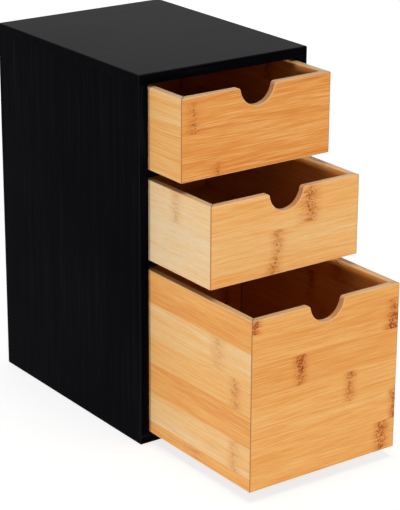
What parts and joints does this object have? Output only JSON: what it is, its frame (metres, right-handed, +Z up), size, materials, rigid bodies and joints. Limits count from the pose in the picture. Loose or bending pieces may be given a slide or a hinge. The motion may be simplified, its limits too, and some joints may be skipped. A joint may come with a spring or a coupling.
{
  "type": "desktop drawer unit",
  "caption": "Desktop drawer unit: a black painted open-fronted case with shallow drawers over a deep one, in bamboo, each pulled out by a round finger notch in its front.",
  "frame": {"origin": "centre of the case's underside, on the surface it stands on", "axes": "+X to the right seen from the front, -Y out of the front where the drawers open, +Z up"},
  "size_m": [0.175, 0.367, 0.33],
  "materials": {
    "black_paint": "satin black paint over fibreboard, with a faint upright grain",
    "bamboo": "strip-laminated bamboo under clear satin lacquer",
    "bamboo_ply": "thin bamboo ply, plain and unlacquered",
    "dowel_beech": "bare beech dowel, hidden in the joints"
  },
  "bodies": {
    "case": {"case_top": "black_paint", "case_bottom": "black_paint", "case_left_side": "black_paint", "case_right_side": "black_paint", "case_back": "black_paint", "upper_shelf": "black_paint", "lower_shelf": "black_paint", "case_dowels": "dowel_beech"},
    "top_drawer": {"top_drawer_front": "bamboo", "top_drawer_back": "bamboo", "top_drawer_left_side": "bamboo", "top_drawer_right_side": "bamboo", "top_drawer_floor": "bamboo_ply"},
    "middle_drawer": {"middle_drawer_front": "bamboo", "middle_drawer_back": "bamboo", "middle_drawer_left_side": "bamboo", "middle_drawer_right_side": "bamboo", "middle_drawer_floor": "bamboo_ply"},
    "bottom_drawer": {"bottom_drawer_front": "bamboo", "bottom_drawer_back": "bamboo", "bottom_drawer_left_side": "bamboo", "bottom_drawer_right_side": "bamboo", "bottom_drawer_floor": "bamboo_ply"}
  },
  "joints": [
    {"name": "top_drawer_slide", "type": "slide", "parent": "case", "child": "top_drawer", "axis": [0, -1, 0], "range_m": [-0.045, 0.12]},
    {"name": "middle_drawer_slide", "type": "slide", "parent": "case", "child": "middle_drawer", "axis": [0, -1, 0], "range_m": [-0.086, 0.079]},
    {"name": "bottom_drawer_slide", "type": "slide", "parent": "case", "child": "bottom_drawer", "axis": [0, -1, 0], "range_m": [-0.142, 0.023]}
  ]
}
